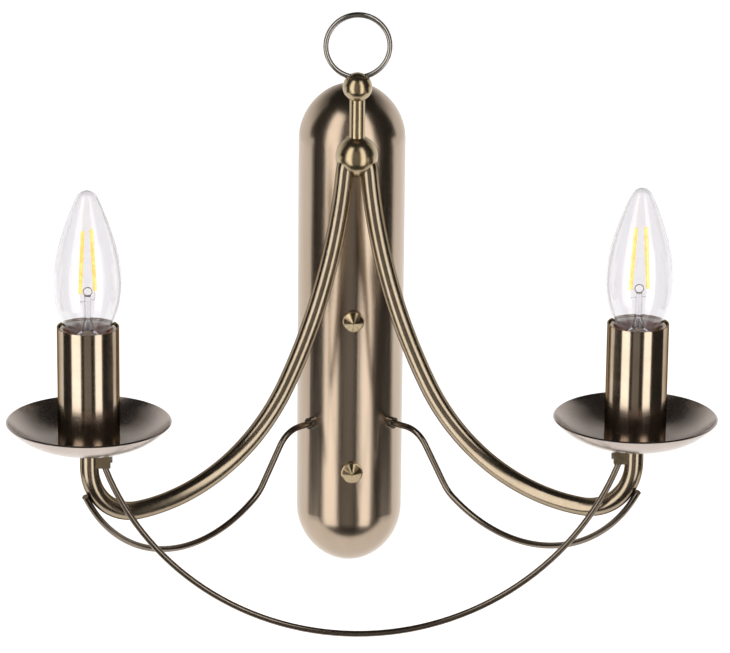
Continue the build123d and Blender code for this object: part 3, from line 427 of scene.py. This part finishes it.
def moulded(name, light, dark, roughness):
    material, tree = new_material(name)
    place = add(tree, "ShaderNodeTexCoord")
    noise = add(tree, "ShaderNodeTexNoise", Scale=MOULDED_GRAIN, Detail=3.0)
    link(tree, place, "Object", noise, "Vector")
    ramp = add(tree, "ShaderNodeValToRGB")
    ramp.color_ramp.elements[0].position = 0.35
    ramp.color_ramp.elements[0].color = (*dark, 1)
    ramp.color_ramp.elements[1].position = 0.65
    ramp.color_ramp.elements[1].color = (*light, 1)
    link(tree, noise, "Fac", ramp, "Fac")
    bump = add(tree, "ShaderNodeBump", Strength=MOULDED_RELIEF, Distance=MOULDED_BUMP)
    link(tree, noise, "Fac", bump, "Height")
    shader = add(tree, "ShaderNodeBsdfPrincipled", Roughness=roughness)
    link(tree, ramp, "Color", shader, "Base Color")
    link(tree, bump, "Normal", shader, "Normal")
    output = add(tree, "ShaderNodeOutputMaterial")
    link(tree, shader, "BSDF", output, "Surface")
    return material


def clear_glass(name, tint):
    material, tree = new_material(name)
    place = add(tree, "ShaderNodeTexCoord")
    noise = add(tree, "ShaderNodeTexNoise", Scale=60.0, Detail=1.0)
    link(tree, place, "Object", noise, "Vector")
    ramp = add(tree, "ShaderNodeValToRGB")
    ramp.color_ramp.elements[0].color = (*tint, 1)
    ramp.color_ramp.elements[1].color = (*(channel * 0.97 for channel in tint), 1)
    link(tree, noise, "Fac", ramp, "Fac")
    shader = add(tree, "ShaderNodeBsdfPrincipled", Roughness=0.0, IOR=1.5)
    shader.inputs["Transmission Weight"].default_value = 1.0
    link(tree, ramp, "Color", shader, "Base Color")
    output = add(tree, "ShaderNodeOutputMaterial")
    link(tree, shader, "BSDF", output, "Surface")
    return material


def glowing(name, hot, warm, strength):
    material, tree = new_material(name)
    place = add(tree, "ShaderNodeTexCoord")
    noise = add(tree, "ShaderNodeTexNoise", Scale=400.0, Detail=2.0)
    link(tree, place, "Object", noise, "Vector")
    ramp = add(tree, "ShaderNodeValToRGB")
    ramp.color_ramp.elements[0].position = 0.4
    ramp.color_ramp.elements[0].color = (*warm, 1)
    ramp.color_ramp.elements[1].position = 0.6
    ramp.color_ramp.elements[1].color = (*hot, 1)
    link(tree, noise, "Fac", ramp, "Fac")
    shader = add(tree, "ShaderNodeBsdfPrincipled", Roughness=0.5)
    shader.inputs["Emission Strength"].default_value = strength
    link(tree, ramp, "Color", shader, "Base Color")
    link(tree, ramp, "Color", shader, "Emission Color")
    output = add(tree, "ShaderNodeOutputMaterial")
    link(tree, shader, "BSDF", output, "Surface")
    return material


COVER_LIGHT = (0.50, 0.40, 0.31)
COVER_DARK = (0.40, 0.315, 0.235)
BRASS_LIGHT = (0.50, 0.40, 0.255)
BRASS_DARK = (0.39, 0.305, 0.185)
PAN_LIGHT = (0.56, 0.48, 0.43)
PAN_DARK = (0.46, 0.39, 0.345)
BROWN_EDGE = (0.15, 0.12, 0.09)
cover_brass = brushed_metal(
    "cover_brass", COVER_LIGHT, COVER_DARK,
    roughness=0.22, fine=(1800, 1800, 25), coarse=(30, 30, 8), relief=0.2,
)
sleeve_brass = brushed_metal(
    "sleeve_brass", (0.60, 0.49, 0.385), (0.46, 0.37, 0.275),
    roughness=0.17, fine=(60, 60, 3000), coarse=(40, 40, 40), relief=0.08, grain=0.6,
    edge=BROWN_EDGE,
)
arm_brass = brushed_metal(
    "arm_brass", (0.43, 0.35, 0.255), (0.34, 0.275, 0.195),
    roughness=0.22, fine=(150, 150, 150), coarse=(50, 50, 50), relief=0.04, spread=0.01,
    edge=BROWN_EDGE,
)
satin_brass = brushed_metal(
    "satin_brass", BRASS_LIGHT, BRASS_DARK,
    roughness=0.24, fine=(300, 300, 300), coarse=(50, 50, 50), relief=0.05,
)
turned_brass = brushed_metal(
    "turned_brass", BRASS_LIGHT, BRASS_DARK,
    roughness=0.20, fine=(500, 500, 500), coarse=(50, 50, 50), relief=0.12,
)
stem_brass = brushed_metal(
    "stem_brass", BRASS_LIGHT, BRASS_DARK,
    roughness=0.24, fine=(900, 900, 60), coarse=(50, 50, 20), relief=0.12,
)
# the pan's upward faces, its inside, get painted shade that darkens them
pan_brass = brushed_metal(
    "pan_brass", PAN_LIGHT, PAN_DARK,
    roughness=0.25, fine=(700, 700, 700), coarse=(50, 50, 50), relief=0.12, painted_shade_up=0.82,
)
wire_brass = brushed_metal(
    "wire_brass", (0.27, 0.22, 0.175), (0.19, 0.155, 0.12),
    roughness=0.20, fine=(900, 900, 900), coarse=(60, 60, 60), relief=0.10,
)
ring_steel = brushed_metal(
    "ring_steel", (0.46, 0.43, 0.39), (0.33, 0.305, 0.28),
    roughness=0.18, fine=(900, 900, 900), coarse=(60, 60, 60), relief=0.10,
)
zinc_steel = brushed_metal(
    "zinc_steel", (0.66, 0.67, 0.68), (0.50, 0.51, 0.52),
    roughness=0.30, fine=(1200, 1200, 60), coarse=(80, 80, 80), relief=0.12,
)
plain_brass = brushed_metal(
    "plain_brass", (0.78, 0.60, 0.30), (0.66, 0.48, 0.22),
    roughness=0.25, fine=(900, 900, 900), coarse=(80, 80, 80), relief=0.08,
)
solder = brushed_metal(
    "solder", (0.70, 0.70, 0.70), (0.55, 0.55, 0.55),
    roughness=0.35, fine=(600, 600, 600), coarse=(90, 90, 90), relief=0.3,
)
white_plastic = moulded("white_plastic", (0.84, 0.84, 0.82), (0.80, 0.80, 0.78), 0.45)
cream_plastic = moulded("cream_plastic", (0.86, 0.80, 0.72), (0.80, 0.74, 0.66), 0.40)
bakelite = moulded("bakelite", (0.50, 0.29, 0.23), (0.40, 0.22, 0.17), 0.40)
black_glass = moulded("black_glass", (0.020, 0.020, 0.022), (0.012, 0.012, 0.013), 0.08)
brown_insulation = moulded("brown_insulation", (0.18, 0.07, 0.03), (0.14, 0.055, 0.022), 0.45)
blue_insulation = moulded("blue_insulation", (0.03, 0.13, 0.50), (0.025, 0.10, 0.42), 0.45)
bulb_glass = clear_glass("bulb_glass", (0.88, 0.87, 0.885))
filament = glowing("filament", (1.0, 0.60, 0.17), (0.94, 0.50, 0.10), 0.78)

LOOKS = {
    "canopy": cover_brass,
    "hub_ball": satin_brass,
    "stem": stem_brass,
    "finial_ball": satin_brass,
    "ring": ring_steel,
    "hub_spacer": satin_brass,
    "cap_nuts": turned_brass,
    "stay_collars": ring_steel,
    "swag_wire": wire_brass,
    "wall_bracket": zinc_steel,
    "bracket_studs": zinc_steel,
    "hub_washer": zinc_steel,
    "hub_nut": zinc_steel,
    "hub_nipple": zinc_steel,
    "stay_nuts": zinc_steel,
    "grub_screws": zinc_steel,
    "earth_washer": zinc_steel,
    "earth_screw": plain_brass,
    "terminal_screws": zinc_steel,
    "terminal_block_screw": zinc_steel,
    "holder_terminal_screws": zinc_steel,
    "terminal_inserts": plain_brass,
    "terminal_block": white_plastic,
}
SIDED_LOOKS = {
    "arm": arm_brass,
    "stay": wire_brass,
    "swag_block": satin_brass,
    "drip_pan": pan_brass,
    "candle_sleeve": sleeve_brass,
    "arm_nipple": zinc_steel,
    "holder_nut": zinc_steel,
    "lampholder": bakelite,
    "centre_contact": plain_brass,
    "screw_shell": plain_brass,
    "bulb_cap": plain_brass,
    "bulb_insulator": black_glass,
    "bulb_contact": solder,
    "bulb_glass": bulb_glass,
    "bulb_mount": bulb_glass,
    "bulb_filaments": filament,
    "lead_live": brown_insulation,
    "lead_neutral": blue_insulation,
}
for stem_name, look in SIDED_LOOKS.items():
    for side_name, _ in SIDES:
        LOOKS[f"{stem_name}_{side_name}"] = look

for node_name, node in NODES.items():
    node.data.materials.clear()
    node.data.materials.append(LOOKS[node_name])
    if LOOKS[node_name] is bulb_glass:
        node.visible_shadow = False

liner_section = (
    (HOLDER_RADIUS, HOLDER_TOP - FLOOR_SHEET),
    (LINER_OUTER, HOLDER_TOP - FLOOR_SHEET),
    (LINER_OUTER, RIM_BOTTOM),
    (LINER_INNER, RIM_BOTTOM),
    (LINER_INNER, HOLDER_TOP),
    (HOLDER_RADIUS, HOLDER_TOP),
)
rim_section = (
    (RIM_INNER, RIM_BOTTOM),
    (RIM_OUTER, RIM_BOTTOM),
    (RIM_OUTER, RIM_TOP),
    (RIM_INNER, RIM_TOP),
)
for side_name, side in SIDES:
    cup = (side * CUP_X, CUP_Y)
    turned_ring(f"holder_liner_{side_name}", liner_section, cup, "body", bakelite)
    turned_ring(f"holder_rim_{side_name}", rim_section, cup, "body", cream_plastic)
    bulb_body = NODES[f"bulb_glass_{side_name}"]["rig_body"]
    wire_curl(f"bulb_curl_{side_name}", (*cup, STEM_TOP + CURL_RADIUS), bulb_body, wire_brass)

bpy.context.scene.view_settings.view_transform = "Standard"
